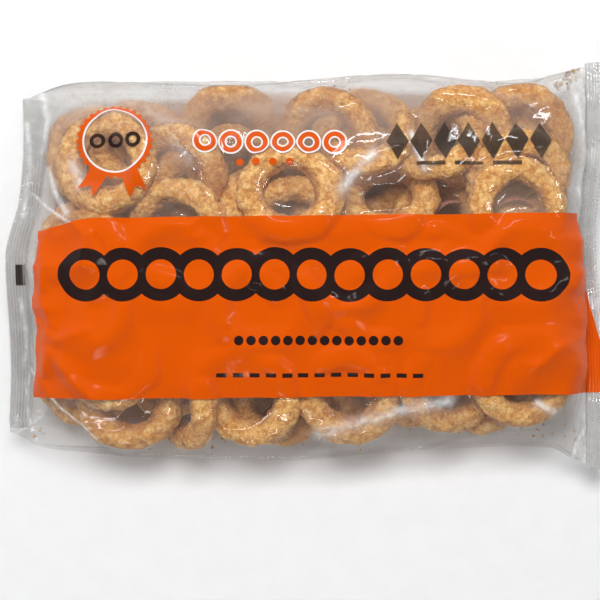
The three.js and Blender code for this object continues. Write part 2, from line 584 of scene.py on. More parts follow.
# The others start in four rows that run along the pack, low down or under the printed band.
# Each row has its place across the pack and its height.
hidden_rows = [(70, 11), (-72, 11), (-2, 12), (-20, 38)]
row_start = -137
row_pitch = 45.5
for number in range(total_rings - shown):
    across, height = hidden_rows[number % len(hidden_rows)]
    along = row_start + row_pitch * (number // len(hidden_rows))
    places.append(np.array((along * mm, across * mm, height * mm)))
    turns.append(turned(draw.uniform(0, 20), draw.uniform(0, 360)))
    browned.append(draw.uniform(0.25, 0.7))
print("rings that show:", shown, "and hidden:", total_rings - shown)

# %% Settling
angles = full_turn * np.arange(beads) / beads
hoop = np.stack([ring_middle * np.cos(angles), ring_middle * np.sin(angles), 0 * angles], axis=1)
settle_steps = 1000
bead_reach = ring_thick * 0.96
watched_reach = bead_reach + 5 * mm
push_share = 0.6
wall_room = ring_thick / 2 + 1.2 * mm
early_pull = 0.06
sinking = 0.08 * mm
# No ring lies on the shoulders beside the seals
shoulder = 156 * mm

# The node's mesh is loose triangles, so a copy is merged before it is used
pack_bm = bmesh.new()
pack_bm.from_mesh(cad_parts["bag"].data)
bmesh.ops.remove_doubles(pack_bm, verts=pack_bm.verts, dist=1e-6)
pack_walls = BVHTree.FromBMesh(pack_bm)
pack_bm.free()


def depth_inside(point):
    """How deep a point lies inside the pack's solid, and which way is out."""
    spot, normal, _, _ = pack_walls.find_nearest(point)
    return (spot - point).dot(normal), normal


def keep_inside(points, room):
    """Moves each point at least this far inside the pack's solid."""
    for point in points:
        depth, normal = depth_inside(Vector(point))
        if depth < room:
            point -= np.array(normal) * (room - depth)


def close_pairs(points, owner):
    """Beads of different hoops that are near enough to touch soon."""
    gap = points[:, None] - points[None]
    near = (gap**2).sum(2) < watched_reach**2
    return np.nonzero(near & (owner[:, None] < owner[None, :]))


def stiffened(points):
    """Puts each hoop back to its round shape, as near as possible to where its beads are."""
    middle = points.mean(1, keepdims=True)
    left, _, right = np.linalg.svd(np.einsum("nki,kj->nij", points - middle, hoop))
    left[:, :, 2] *= np.sign(np.linalg.det(left @ right))[:, None]
    turn = left @ right
    return middle + hoop @ np.transpose(turn, (0, 2, 1)), turn


def settle():
    """Lets the hoops find room. Returns their middles, their turns and the deepest overlap."""
    target = np.array(places)[:, None] + hoop @ np.transpose(np.array(turns), (0, 2, 1))
    points = target.copy()
    owner = np.repeat(np.arange(len(places)), beads)
    count = len(owner)
    for step in range(settle_steps):
        late = step / settle_steps
        pull = early_pull * (1 - late) ** 2 + lasting_pull
        points[:shown] += pull * (target[:shown] - points[:shown])
        points[shown:, :, 2] -= sinking * (1 - late)
        flat = points.reshape(-1, 3)
        if step % 6 == 0:
            first, second = close_pairs(flat, owner)
        gap = flat[first] - flat[second]
        distance = np.sqrt((gap**2).sum(1)) + 1e-9
        overlap = np.clip(bead_reach - distance, 0, None)
        push = gap * (push_share * overlap / distance)[:, None]
        for axis in range(3):
            flat[:, axis] += np.bincount(first, push[:, axis], count)
            flat[:, axis] -= np.bincount(second, push[:, axis], count)
        flat[:, 0] = np.clip(flat[:, 0], -shoulder, shoulder)
        if step % 3 == 0 or late > 0.9:
            keep_inside(flat, wall_room)
        points, turn = stiffened(flat.reshape(-1, beads, 3))
    return points.mean(1), turn, overlap.max()


ring_places, ring_turns, worst = settle()
print("rings:", len(ring_places), "deepest overlap in mm:", round(worst / mm, 2))
moved = np.linalg.norm(ring_places[:shown] - np.array(places[:shown]), axis=1) / mm
print("shown rings moved by mm:", [int(round(value)) for value in moved])

# %% [markdown]
# Each ring is a copy of a master with its own turn about its axis and a slightly oval shape. The rings
# are joined into a few pieces, by where they lie, so that no piece has too many faces.

# %% Ring pieces
film_room = 0.3 * mm
press_from = 2.4 * mm
turn_between_rings = 2.4


def ring_bunch(name, numbers, kinds):
    bm = bmesh.new()
    bm.verts.layers.float.new("browned")
    for number in numbers:
        before = len(bm.verts)
        bm.from_mesh(kinds[number % masters])
        bm.verts.ensure_lookup_table()
        tone = bm.verts.layers.float["browned"]
        added = bm.verts[before:]
        for vert in added:
            vert[tone] = browned[number]
        oval = draw.uniform(0.94, 1.05)
        own = Matrix.Rotation(draw.uniform(0, full_turn), 4, "Z")
        shape = Matrix.Diagonal((oval, 2 - oval, draw.uniform(0.95, 1.05), 1))
        turn = Matrix([list(row) for row in ring_turns[number]]).to_4x4()
        place = Matrix.Translation(Vector(ring_places[number]))
        first_turn = Matrix.Rotation(turn_between_rings * number, 4, "Z")
        matrix = place @ turn @ own.inverted() @ shape @ own @ first_turn
        bmesh.ops.transform(bm, matrix=matrix, verts=added)
    # Crumbs near the film are pressed against it, the more the closer they are
    span = press_from - film_room
    for vert in bm.verts:
        depth, normal = depth_inside(vert.co)
        if depth < press_from:
            pressed = film_room + span * math.exp((depth - press_from) / span)
            vert.co -= normal * (pressed - depth)
    piece = add_mesh(name, mesh_from(bm, name), crumb)
    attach(piece, body)
    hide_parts("bag")
    return piece


ring_pieces = [
    ring_bunch("rings_far_left", range(0, 6), fine_rings),
    ring_bunch("rings_far_middle", range(6, 12), fine_rings),
    ring_bunch("rings_far_right", range(12, 18), fine_rings),
    ring_bunch("rings_near_left", range(18, 23), fine_rings),
    ring_bunch("rings_near_right", range(23, shown), fine_rings),
    ring_bunch("rings_below", range(shown, total_rings), plain_rings),
]
print("triangles of the rings:", [2 * len(piece.data.polygons) for piece in ring_pieces])

# %% [markdown]
# Between a few rings a reddish sliver of onion shows. A sliver is a flat oval swept along an arc, so it is
# the same bent bar as a ring, spun part of the way round, with its two ends filled.

# %% Onion slivers
# column, row, height of the middle, turn in degrees
slivers = [(512, 222, 30, 40), (192, 424, 29, 60), (452, 226, 24, 75), (404, 160, 22, 20)]
sliver_wide = 7 * mm
sliver_thick = 2.6 * mm
sliver_bend = 15 * mm
sliver_arc = math.radians(105)
sliver_lean = Matrix.Rotation(math.radians(24), 4, "X")
onion_shades = ((0.56, 0.27, 0.19), (0.24, 0.045, 0.050))


def onion_slivers():
    bm = bmesh.new()
    for column, row, height, turn in slivers:
        one = bent_bar(14, 1, (sliver_thick / 2, sliver_wide / 2), sliver_bend, sliver_arc, 26)
        place = Matrix.Translation(under_pixel(column, row, height * mm))
        matrix = place @ Matrix.Rotation(math.radians(turn), 4, "Z") @ sliver_lean
        bmesh.ops.transform(one, matrix=matrix, verts=one.verts)
        mesh = mesh_from(one, "sliver")
        bm.from_mesh(mesh)
        bpy.data.meshes.remove(mesh)
    onion = mottled_finish(
        "onion sliver", (120, 4, 0.6, 0.8), onion_shades, {"Roughness": 0.35}, (300, 0.3, 0.5 * mm)
    )
    piece = add_mesh("onion_slivers", mesh_from(bm, "onion_slivers"), onion)
    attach(piece, body)
    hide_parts("bag")


onion_slivers()
print("onion slivers:", len(slivers))

# %% [markdown]
# ## The film
# The bag is one tube of film about 0.07 mm thick, welded flat at both ends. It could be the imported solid
# made see-through, but film isn't smooth: it hangs from ring to ring, and its spare length shows as
# folds. So a fine grid is wrapped round the solid, and its upper face is then let down on the rings as
# cloth would be: edges keep their length, which is a little more than the solid's, and a map of heights
# stops the film where a ring lies. Blender's cloth does the same, but it takes minutes at this size.

# %% The solid's edges
left_seal = 13 * mm
right_seal = 10 * mm
reach_out = 0.5
inset = 0.4 * mm
ray_heights = np.arange(4, 32, 0.35) * mm
# The corners of the two cut edges
left_far_corner = 104.5 * mm
left_near_corner = -102 * mm
right_corner = 127 * mm
corner_slack = 2 * mm


def widest(axis, side, along):
    """How far the solid reaches to one side of an axis, at each place along the other one."""
    found = []
    step = Vector((side, 0, 0)) if axis == 0 else Vector((0, side, 0))
    for value in along:
        best = None
        for height in ray_heights:
            start = Vector((0, value, height)) if axis == 0 else Vector((value, 0, height))
            spot = pack_walls.ray_cast(start + step * reach_out, -step)[0]
            if spot is not None and (best is None or side * spot[axis] > side * best):
                best = spot[axis]
        found.append(best)
    return np.array(found, float)


def filled(values):
    """Fills the few places that no ray met from their neighbours."""
    known = ~np.isnan(values)
    return np.interp(np.arange(len(values)), np.flatnonzero(known), values[known])


def only_between(values, low, high):
    """Keeps a cut edge between its corners. Past them a ray meets the long edge instead."""
    return np.where((cut_places > low) & (cut_places < high), values, np.nan)


cut_places = np.linspace(low_corner.y + inset, high_corner.y - inset, 60)
side_places = np.linspace(low_corner.x + 14 * mm, high_corner.x - 6 * mm, 90)
left_cut = filled(only_between(widest(0, -1, cut_places), left_near_corner, left_far_corner))
right_cut = widest(0, 1, cut_places)
right_cut = filled(only_between(right_cut, corner_slack - right_corner, right_corner - corner_slack))
far_side = filled(widest(1, 1, side_places))
near_side = filled(widest(1, -1, side_places))
side_places = np.concatenate([[low_corner.x], side_places, [high_corner.x]])
far_side = np.concatenate([[left_far_corner], far_side, [right_corner]])
near_side = np.concatenate([[left_near_corner], near_side, [-right_corner]])
print("film edges found:", len(left_cut), "across and", len(far_side), "along")

# %% A grid round the solid
columns = 250
upper_rows = 168
lower_rows = 84
loop_rows = upper_rows + lower_rows
# Rows crowd towards the long edges by this share
crowding = 0.22
width_share = 0.998


def height_of(x, y, upward):
    """The solid's upper or lower face at a place, or nothing past its edge."""
    start = Vector((x, y, reach_out if upward else -reach_out))
    return pack_walls.ray_cast(start, Vector((0, 0, -1 if upward else 1)))[0]


def film_grid():
    """Points of the film: along the pack, then round it from the far edge over the top and back below."""
    points = np.zeros((columns + 1, loop_rows, 3))
    over = np.arange(upper_rows) / upper_rows
    back = 1 + np.arange(lower_rows) / lower_rows
    shares = np.cos(np.pi * np.concatenate([over, back]))
    shares = shares * (1 - crowding + crowding * shares**2)
    for i in range(columns + 1):
        share_along = i / columns
        x = np.full(loop_rows, low_corner.x + share_along * (high_corner.x - low_corner.x))
        # The cut edges aren't straight, so each place is found by a few rounds
        for _ in range(4):
            far = np.interp(x, side_places, far_side)
            near = np.interp(x, side_places, near_side)
            y = (far + near) / 2 + shares * (far - near) / 2 * width_share
            left = np.interp(y, cut_places, left_cut) + inset
            right = np.interp(y, cut_places, right_cut) - inset
            x = left + share_along * (right - left)
        points[i, :, 0] = x
        points[i, :, 1] = y
        for j in range(loop_rows):
            spot = height_of(x[j], y[j], j < upper_rows)
            if spot is None:
                spot = pack_walls.find_nearest(Vector((x[j], y[j], points[i, j - 1, 2])))[0]
            points[i, j, 2] = spot.z
    return points


laid = film_grid()
print("film points:", laid.shape[0] * laid.shape[1])

# %% [markdown]
# The height map is made by dropping a ray on the rings at every millimetre, as a probe would.

# %% Height map of the rings
probe_step = 1.0 * mm
probe_x = np.arange(low_corner.x, high_corner.x + probe_step, probe_step)
probe_y = np.arange(low_corner.y, high_corner.y + probe_step, probe_step)
hole_rounds = 11
hole_blur = 45
above_all = 60 * mm


def ring_heights(side, where_none):
    """The rings' upper faces for a side of 1, or their lower ones for -1."""
    bm = bmesh.new()
    for piece in ring_pieces:
        bm.from_mesh(piece.data)
    tree = BVHTree.FromBMesh(bm)
    bm.free()
    heights = np.full((len(probe_x), len(probe_y)), where_none)
    for i, x in enumerate(probe_x):
        for j, y in enumerate(probe_y):
            spot = tree.ray_cast(Vector((x, y, side * reach_out)), Vector((0, 0, -side)))[0]
            if spot is not None:
                heights[i, j] = spot.z
    return heights


def blurred(values, rounds):
    """Evens out a grid of values."""
    for _ in range(rounds):
        values = 0.5 * values + 0.125 * (
            np.roll(values, 1, 0) + np.roll(values, -1, 0) + np.roll(values, 1, 1) + np.roll(values, -1, 1)
        )
    return values


def grown(values, rounds):
    """Spreads high values to their neighbours."""
    for _ in range(rounds):
        for shift in ((1, 0), (0, 1), (-1, 0), (0, -1)):
            values = np.maximum(values, np.roll(values, shift, (0, 1)))
    return values


def read_map(values, x, y):
    """Reads a height map between its probes."""
    u = np.clip((x - probe_x[0]) / probe_step, 0, len(probe_x) - 1.001)
    v = np.clip((y - probe_y[0]) / probe_step, 0, len(probe_y) - 1.001)
    i = u.astype(int)
    j = v.astype(int)
    u -= i
    v -= j
    low = values[i, j] * (1 - u) + values[i + 1, j] * u
    high = values[i, j + 1] * (1 - u) + values[i + 1, j + 1] * u
    return low * (1 - v) + high * v


bare_top = ring_heights(1, 0.0)
bare_bottom = ring_heights(-1, above_all)
# 1 wherever there is food round about, also inside a ring's hole
covered = grown((bare_top > 0).astype(float), hole_rounds)
food_near = blurred(1 - grown(1 - covered, hole_rounds), hole_blur)
# Film bridges the pits between crumbs, so it meets an evened-out surface
ring_top = blurred(grown(bare_top, 2), 5)
print("highest ring in mm:", round(ring_top.max() / mm, 1))

# %% [markdown]
# The film is let down in small steps. After each one, every link between neighbours is brought back
# towards its own length, and points that went into a ring are lifted out again.

# %% Laying the film on the rings
lay_steps = 240
slack = 0.004
fall = 0.012 * mm
kept_speed = 0.88
clearance = 0.45 * mm
most_out = 1.5 * mm
most_in = 3 * mm
seal_fade = 8 * mm
# Steps along and round to a neighbour, and how stiff the link to it is
links = [(1, 0, 0.6), (0, 1, 0.6), (1, 1, 0.5), (1, -1, 0.5), (2, 0, 0.15), (0, 2, 0.15)]


def neighbour_gap(points, shift_i, shift_j):
    first = points[: points.shape[0] - shift_i]
    return np.roll(points, -shift_j, 1)[shift_i:] - first


def pull_together(points, weight, shift_i, shift_j, rest, stiffness):
    """Gives each pair of neighbours back its length, moving both ends by half."""
    gap = neighbour_gap(points, shift_i, shift_j)
    length = np.sqrt((gap**2).sum(2)) + 1e-12
    move = gap * (stiffness * 0.5 * (length - rest) / length)[:, :, None]
    total = np.zeros_like(points)
    total[: len(move)] += move
    total[shift_i:] -= np.roll(move, shift_j, 1)
    points += total * weight[:, :, None]


def freedom(start):
    """1 where the film may move, 0 at the seals and on the face that the pack lies on."""
    upper = np.zeros(start.shape[:2], bool)
    upper[:, 1:upper_rows] = True
    from_left = start[:, :, 0] - np.interp(start[:, :, 1], cut_places, left_cut) - left_seal
    from_right = np.interp(start[:, :, 1], cut_places, right_cut) - start[:, :, 0] - right_seal
    free = np.clip(from_left / seal_fade, 0, 1) * np.clip(from_right / seal_fade, 0, 1)
    free = np.where(upper, free, 0)
    return upper, np.minimum(free, blurred(free, 3))


def lay_film(start, upper, free):
    points = start.copy()
    # The film was flat before it was filled, so its lengths are measured on a smoothed copy
    smooth = start.copy()
    smooth[:, :, 2] = np.where(upper, blurred(start[:, :, 2], 60), start[:, :, 2])
    rests = []
    for shift_i, shift_j, _ in links:
        rests.append(np.sqrt((neighbour_gap(smooth, shift_i, shift_j) ** 2).sum(2)) * (1 + slack))
    before = points.copy()
    for step in range(lay_steps):
        drift = kept_speed * (points - before)
        before = points.copy()
        points += drift * free[:, :, None]
        points[:, :, 2] -= fall * free
        for (shift_i, shift_j, stiffness), rest in zip(links, rests):
            pull_together(points, free, shift_i, shift_j, rest, stiffness)
        stop = read_map(ring_top, points[:, :, 0], points[:, :, 1]) + clearance
        stop = np.minimum(stop, start[:, :, 2] + most_out)
        height = np.where(upper & (free > 0), np.maximum(points[:, :, 2], stop), points[:, :, 2])
        points[:, :, 2] = np.clip(height, start[:, :, 2] - most_in * free, start[:, :, 2] + most_out * free)
    return points


upper_face, film_free = freedom(laid)
film_points = lay_film(laid, upper_face, film_free)
print("film sank by up to mm:", round((laid - film_points)[:, :, 2].max() / mm, 1))

# %% [markdown]
# Film that was handled keeps sharp creases. Long ones follow the photograph as named lines. The rest is
# a network: the lines along which a smooth random field is zero wander as real creases do, and they are
# strong near the seals and the long edges and faint over the rings.

# %% Where the creases run
# column and row of each corner in the photograph's frame
crease_lines = [
    [(15, 178), (22, 197), (45, 208), (70, 219), (85, 232), (92, 250)],
    [(28, 372), (23, 392), (24, 408), (28, 427)],
    [(27, 368), (45, 385), (60, 404), (85, 423), (100, 440)],
    [(9, 437), (28, 426), (42, 416)],
    [(38, 424), (55, 427), (74, 432)],
    [(24, 130), (60, 128), (90, 108)],
    [(31, 115), (34, 95), (30, 86)],
    [(26, 90), (42, 110), (38, 150), (46, 190)],
    [(20, 250), (34, 262), (30, 300), (38, 330)],
    [(424, 450), (455, 441), (500, 430), (532, 430)],
    [(300, 432), (345, 423), (400, 412), (452, 398)],
    [(342, 193), (358, 172), (374, 155), (400, 146)],
    [(410, 136), (418, 155), (424, 176), (440, 160)],
    [(574, 90), (580, 130), (586, 165), (584, 186), (571, 207), (574, 228)],
    [(592, 78), (586, 120), (594, 160)],
    [(560, 455), (572, 430), (570, 400), (584, 372)],
    [(584, 470), (586, 440), (596, 410)],
    [(573, 264), (578, 252), (590, 276), (582, 270)],
]
# Deeper folds at both ends of the band, where the film is gathered
deep_lines = [
    [(38, 322), (58, 340), (90, 330)],
    [(40, 384), (52, 352), (70, 372), (96, 398)],
    [(74, 222), (90, 236), (86, 262)],
    [(48, 262), (42, 296), (54, 326)],
    [(576, 232), (582, 262), (572, 288)],
    [(532, 366), (556, 346), (584, 336)],
]
# Lines along which the film is painted white. The narrow ones are painted highlights, glints and glare on
# folds, and film whitened where it was folded sharply; the widest are veils of frost.
# Each has its half width in mm, how white it is, and its corners.
glint_and_whitened_lines = [
    (3.4, 1.0, [(340, 192), (356, 172), (372, 156)]),
    (2.0, 1.0, [(409, 136), (416, 155), (422, 172)]),
    (5.5, 0.80, [(318, 434), (360, 421), (400, 408), (446, 400)]),
    (3.0, 1.0, [(534, 402), (550, 410)]),
    (3.2, 1.0, [(575, 96), (584, 130), (588, 160), (580, 190), (590, 230)]),
    (6.0, 1.0, [(588, 66), (592, 110), (597, 150), (594, 212)]),
    (5.0, 1.0, [(596, 300), (594, 390), (590, 462)]),
    (1.6, 1.0, [(572, 470), (578, 440), (592, 420)]),
    (2.6, 1.0, [(38, 92), (44, 116), (40, 150)]),
    (1.8, 1.0, [(22, 120), (26, 168), (20, 215)]),
    (2.0, 1.0, [(48, 168), (58, 196), (70, 214)]),
    (1.6, 1.0, [(16, 300), (22, 340), (20, 366)]),
    (0.9, 1.0, [(22, 187), (48, 208), (80, 228), (88, 244)]),
    (6.0, 0.75, [(76, 166), (84, 184)]),
    (18.0, 0.38, [(84, 108), (140, 104), (172, 128), (190, 160)]),
    (12.0, 0.30, [(70, 398), (100, 410)]),
    (14.0, 0.28, [(250, 110), (330, 112)]),
]
# Three of the creases at the near left corner are painted white too, as glints on folds
glint_and_whitened_lines += [(0.8, 1.0, line) for line in crease_lines[1:4]]

# %% Creases
line_height = 30 * mm
crease_height = 1.7 * mm
crease_width = 1.1 * mm
facet_width = 6 * mm
deep_height = 5.4 * mm
deep_width = 7 * mm
# The network holds three fields: how smooth each is, and its share
network_fields = ((700, 1.0), (160, 0.7), (45, 0.4))
network_width = 0.16
network_lift = 0.3
network_sink = 0.3 * mm
loose_ends = 60 * mm
loose_sides = 34 * mm


def distance_to_line(x, y, corners):
    nearest = np.full(x.shape, 1.0)
    for first, second in zip(corners, corners[1:]):
        run = second - first
        share = np.clip(((x - first.x) * run.x + (y - first.y) * run.y) / run.length_squared, 0, 1)
        away = np.hypot(x - first.x - share * run.x, y - first.y - share * run.y)
        nearest = np.minimum(nearest, away)
    return nearest


def near_lines(x, y, lines, width):
    """1 on any of the lines, falling off to both sides."""
    near = np.zeros(x.shape)
    for line in lines:
        corners = [under_pixel(column, row, line_height).to_2d() for column, row in line]
        near = np.maximum(near, np.exp(-distance_to_line(x, y, corners) / width))
    return near


def creased(points):
    """Adds ridges to the film. Returns its points and how sharply each one is creased."""
    x = points[:, :, 0]
    y = points[:, :, 1]
    sharp = near_lines(x, y, crease_lines, crease_width)
    ridge = 0.4 * sharp + 0.6 * near_lines(x, y, crease_lines, facet_width)
    from_end = np.minimum(x - low_corner.x, high_corner.x - x) / loose_ends
    from_side = np.minimum(y - low_corner.y, high_corner.y - y) / loose_sides
    loose = np.clip(1.25 - np.minimum(from_end, from_side), 0.16, 1)
    network = np.zeros(x.shape)
    for rounds, share in network_fields:
        field = blurred(draw.normal(0, 1, x.shape), rounds)
        field /= field.std()
        network += share * np.exp(-np.abs(field) / network_width)
    ridge_height = crease_height * (ridge + network_lift * loose * network)
    ridge_height += deep_height * near_lines(x, y, deep_lines, deep_width)
    moved = points.copy()
    moved[:, :, 2] += np.where(upper_face, film_free, 0) * (ridge_height - network_sink * loose)
    moved[:, :, 2] = np.minimum(moved[:, :, 2], high_corner.z)
    return moved, np.clip(sharp + 0.35 * loose * network, 0, 1)


film_points, film_creases = creased(film_points)
print("crease lines:", len(crease_lines) + len(deep_lines), "white lines:", len(glint_and_whitened_lines))

# %% [markdown]
# A flat grid of faces is bent into the tube, and its first and last rows are merged. Each point takes
# along what the finish needs: how far the film hangs clear of the rings, whether food is near, how
# creased it is, how white it is painted for frost, whitened folds and glints, and where it lay when it
# was printed.

# %% Film mesh
widest_gap = 20 * mm
merge_reach = 0.02 * mm


def film_mesh(points, start):
    bm = bmesh.new()
    bmesh.ops.create_grid(bm, x_segments=loop_rows, y_segments=columns, size=1)
    bm.verts.ensure_lookup_table()
    x, y, z = points.transpose(2, 0, 1)
    empty = np.where(upper_face, z - read_map(bare_top, x, y), read_map(bare_bottom, x, y) - z)
    # Painted highlights as well as frost: the white share that the lines give
    milky = np.zeros(x.shape)
    for width, strength, line in glint_and_whitened_lines:
        milky = np.maximum(milky, strength * near_lines(x, y, [line], width * mm))
    numbers = {
        "milky": milky * upper_face,
        "gap": np.clip(empty / widest_gap, 0, 1),
        "food": read_map(food_near, x, y),
        "crease": film_creases,
        "top": upper_face.astype(float),
    }
    bm.verts.layers.float_vector.new("printed_at")
    for name in numbers:
        bm.verts.layers.float.new(name)
    # A new layer moves the ones before it, so they are looked up when all are made
    printed = bm.verts.layers.float_vector["printed_at"]
    layers = {name: bm.verts.layers.float[name] for name in numbers}
    for i in range(columns + 1):
        for j in range(loop_rows + 1):
            k = j % loop_rows
            vert = bm.verts[i * (loop_rows + 1) + j]
            vert.co = points[i, k]
            vert[printed] = start[i, k]
            for name, layer in layers.items():
                vert[layer] = numbers[name][i, k]
    bmesh.ops.remove_doubles(bm, verts=bm.verts, dist=merge_reach)
    bmesh.ops.recalc_face_normals(bm, faces=bm.faces)
    return mesh_from(bm, "film")


film = add_mesh("film", film_mesh(film_points, laid))
print("film faces:", len(film.data.polygons))

# %% [markdown]
# ## Film, haze and print
# Clear film shows the rings sharply where they touch it and milkily where they don't, because frost and
# crumb dust cling to it. Between the rings the lower face is painted dark brown as shade, and over the food
# the milk is painted brown for the light that the rings throw into it. The orange band is opaque ink on the
# film. Its edges are fields worked out from where the film was printed, so they follow every fold. Wording
# is left off; plain rings, dots and dashes of like weight stand in its place.

# %% Print shapes
print_height = 52 * mm
# The band's edges, as columns and rows of the photograph's frame
band_columns = (34, 575)
band_rows = (215.5, 398)
dip_end_column = 92
dip_depth = 7.0 * mm
wave_depth = 1.6 * mm
waves_per_metre = 95.0


def printed_x(column):
    return under_pixel(column, picture_side / 2, print_height).x


def printed_y(row):
    return under_pixel(picture_side / 2, row, print_height).y


def band_mask(along, across):
    """The band. Its far edge dips towards the left seal, and its left edge waves."""
    left_end = printed_x(band_columns[0])
    dip = (along * -1.0).ramp(-printed_x(dip_end_column), -left_end)
    far_edge = printed_y(band_rows[0]) + along * 0.012 - dip * dip_depth
    near_edge = printed_y(band_rows[1]) + along * 0.010
    left_edge = left_end + (across * waves_per_metre).math("SINE") * wave_depth
    right_edge = printed_x(band_columns[1]) + (printed_y(213) - across).larger(0.0) * 0.27
    inside = (across < far_edge) * (across > near_edge)
    return inside * (along > left_edge) * (along < right_edge)


def nearest_in_row(along, ends, count):
    """How far a point lies from the nearest of the places in a row between two columns."""
    first, last = (printed_x(column) for column in ends)
    pitch = (last - first) / (count - 1)
    place = ((along - first) / pitch).math("ROUND").larger(0.0).smaller(count - 1.0)
    return along - first - place * pitch


def distance(dx, dy):
    return (dx * dx + dy * dy).math("SQRT")


def ring_row(along, across, ends, row, count, outer, inner):
    """A row of plain rings, or of dots where the inner radius is 0."""
    dx = nearest_in_row(along, ends, count)
    return distance(dx, across - printed_y(row)).between(inner, outer)


def bar_row(along, across, ends, row, count, half_wide, half_high):
    """A row of plain bars."""
    dx = abs(nearest_in_row(along, ends, count))
    return (dx < half_wide) * (abs(across - printed_y(row)) < half_high)


def diamond_row(along, across, ends, row, count, half_wide, half_high):
    """A row of plain diamonds."""
    dx = abs(nearest_in_row(along, ends, count))
    return dx / half_wide + abs(across - printed_y(row)) / half_high < 1.0


# %% Rosette
badge_column = 115
badge_row = 139
line_from = 18.5 * mm
line_to = 19.7 * mm
rim_from = 19.6 * mm
rim_to = 21.8 * mm
teeth = 30
tooth_foot = 21.2 * mm
tooth_height = 4.6 * mm
tail_directions = (-118, -66)
tail_from = 20.5 * mm
tail_to = 36 * mm
tail_half = 5.5 * mm
tail_notch = 0.9


def rosette(along, across):
    """A ring with a toothed rim and two ribbon tails. Returns the coloured parts and the white line."""
    dx = along - printed_x(badge_column)
    dy = across - printed_y(badge_row)
    out = distance(dx, dy)
    angle = dy.math("ARCTAN2", dx)
    tooth = abs((angle * (teeth / full_turn)).math("FRACT") - 0.5)
    toothed = out.between(rim_from, tooth_foot + tooth * tooth_height)
    shape = (out.between(rim_from, rim_to) + toothed).smaller(1.0)
    for direction in tail_directions:
        run_x = math.cos(math.radians(direction))
        run_y = math.sin(math.radians(direction))
        along_tail = dx * run_x + dy * run_y
        across_tail = abs(dx * -run_y + dy * run_x)
        tip = tail_to - (tail_half - across_tail).larger(0.0) * tail_notch
        tail = (along_tail > tail_from) * (along_tail < tip) * (across_tail < tail_half)
        shape = shape.larger(tail)
    return shape, out.between(line_from, line_to)


# %% Film finish
orange_ink_colour = (0.675, 0.086, 0.0002)
white_ink_colour = (0.90, 0.88, 0.86)
dark_ink_colour = (0.055, 0.038, 0.028)
black_ink_colour = (0.020, 0.010, 0.009)
bright_milk = (0.66, 0.65, 0.63)
# Painted shade: a darker milk for the near wall of the film
near_wall_painted_shade_milk = (0.40, 0.385, 0.365)
# Painted light: the haze's colour where brown light from the rings would fall on it
painted_brown_light_in_milk = (0.47, 0.30, 0.21)
# Painted shade between the rings on the lower face, brown like crumb dust
painted_gap_shade_colour = (0.27, 0.105, 0.065)
# One white for painted glints and glare, frost and whitened film
white_of_glints_and_frost = (0.90, 0.90, 0.89)


